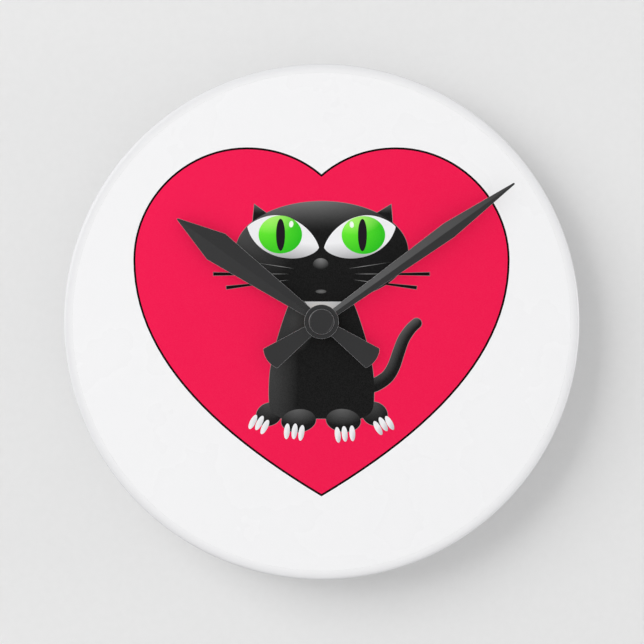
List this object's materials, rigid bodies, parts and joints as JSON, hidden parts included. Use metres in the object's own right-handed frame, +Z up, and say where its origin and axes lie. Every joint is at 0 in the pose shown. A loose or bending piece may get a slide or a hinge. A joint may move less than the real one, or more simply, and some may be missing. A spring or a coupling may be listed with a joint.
{
  "type": "wall clock",
  "caption": "Round wall clock: a printed glossy acrylic disc with tapered hour and minute hands, on a battery quartz movement with a hanging tab behind.",
  "frame": {"origin": "on the hands' axis, in the plane of the wall, which is the flat back face of the movement's cover", "axes": "+X to the viewer's right, +Z up the dial, +Y into the wall; the dial faces -Y"},
  "size_m": [0.2032, 0.0309, 0.2032],
  "materials": {
    "white_acrylic": "polished white cast acrylic",
    "printed_film": "printed ink under a gloss coat",
    "hand_plastic": "satin black",
    "case_plastic": "fine spark-eroded texture",
    "rubber": "matt",
    "brass": "turned",
    "gear_plastic": "natural acetal",
    "core_steel": "stamped silicon steel",
    "magnet": "sintered, ground",
    "copper_wire": "enamelled copper",
    "board": "solder mask over glass fibre",
    "epoxy": "poured epoxy",
    "contact_steel": "nickel plate",
    "battery_can": "nickel plate",
    "battery_label": "printed shrink sleeve"
  },
  "bodies": {
    "clock": {"acrylic_dial": "white_acrylic", "printed_face": "printed_film", "rubber_washer": "rubber", "brass_washer": "brass", "hex_nut": "brass", "threaded_bushing": "brass", "movement_case": "case_plastic", "movement_cover": "case_plastic", "hanger": "case_plastic", "train_bridge": "gear_plastic", "stator_core": "core_steel", "coil_bobbin": "gear_plastic", "coil_winding": "copper_wire", "circuit_board": "board", "circuit_chip": "epoxy", "quartz_crystal": "contact_steel", "contact_positive": "contact_steel", "contact_negative": "contact_steel", "contact_spring": "contact_steel"},
    "minute": {"minute_hand": "hand_plastic", "minute_cap": "hand_plastic", "minute_arbor": "brass"},
    "hour": {"hour_hand": "hand_plastic", "hour_wheel": "gear_plastic"},
    "motion": {"motion_wheel": "gear_plastic"},
    "knob": {"setting_knob": "gear_plastic"},
    "seconds": {"seconds_wheel": "gear_plastic"},
    "intermediate": {"intermediate_wheel": "gear_plastic"},
    "rotor": {"rotor_pinion": "gear_plastic", "rotor_magnet": "magnet"},
    "third": {"third_wheel": "gear_plastic"},
    "centre": {"centre_wheel": "gear_plastic"},
    "battery": {"battery_cell": "battery_can", "battery_sleeve": "battery_label"}
  },
  "joints": [
    {"name": "minute_hand_turn", "type": "hinge", "parent": "clock", "child": "minute", "pos_m": [0, 0, 0], "axis": [0, 1, 0], "continuous": true},
    {"name": "hour_hand_turn", "type": "hinge", "parent": "clock", "child": "hour", "pos_m": [0, 0, 0], "axis": [0, 1, 0], "continuous": true},
    {"name": "motion_wheel_turn", "type": "hinge", "parent": "clock", "child": "motion", "pos_m": [0, 0, 0.0096], "axis": [0, 1, 0], "continuous": true},
    {"name": "setting_knob_turn", "type": "hinge", "parent": "clock", "child": "knob", "pos_m": [0.00617, 0, 0.01695], "axis": [0, 1, 0], "continuous": true},
    {"name": "seconds_wheel_turn", "type": "hinge", "parent": "clock", "child": "seconds", "pos_m": [0, 0, 0], "axis": [0, 1, 0], "continuous": true},
    {"name": "intermediate_wheel_turn", "type": "hinge", "parent": "clock", "child": "intermediate", "pos_m": [-0.00998, 0, 0.00576], "axis": [0, 1, 0], "continuous": true},
    {"name": "rotor_turn", "type": "hinge", "parent": "clock", "child": "rotor", "pos_m": [-0.00998, 0, 0.01451], "axis": [0, 1, 0], "continuous": true},
    {"name": "third_wheel_turn", "type": "hinge", "parent": "clock", "child": "third", "pos_m": [0.0108, 0, 0], "axis": [0, 1, 0], "continuous": true},
    {"name": "centre_wheel_turn", "type": "hinge", "parent": "clock", "child": "centre", "pos_m": [0, 0, 0], "axis": [0, 1, 0], "continuous": true},
    {"name": "battery_out", "type": "slide", "parent": "clock", "child": "battery", "axis": [0, 1, 0], "range_m": [0, 0.02]}
  ],
  "couplings": [
    {"joint": "hour_hand_turn", "follows": "minute_hand_turn", "ratio": 0.083333},
    {"joint": "motion_wheel_turn", "follows": "minute_hand_turn", "ratio": -0.33333},
    {"joint": "setting_knob_turn", "follows": "minute_hand_turn", "ratio": 1},
    {"joint": "intermediate_wheel_turn", "follows": "seconds_wheel_turn", "ratio": -5},
    {"joint": "rotor_turn", "follows": "seconds_wheel_turn", "ratio": 30},
    {"joint": "third_wheel_turn", "follows": "seconds_wheel_turn", "ratio": -0.125},
    {"joint": "centre_wheel_turn", "follows": "seconds_wheel_turn", "ratio": 0.016667}
  ]
}
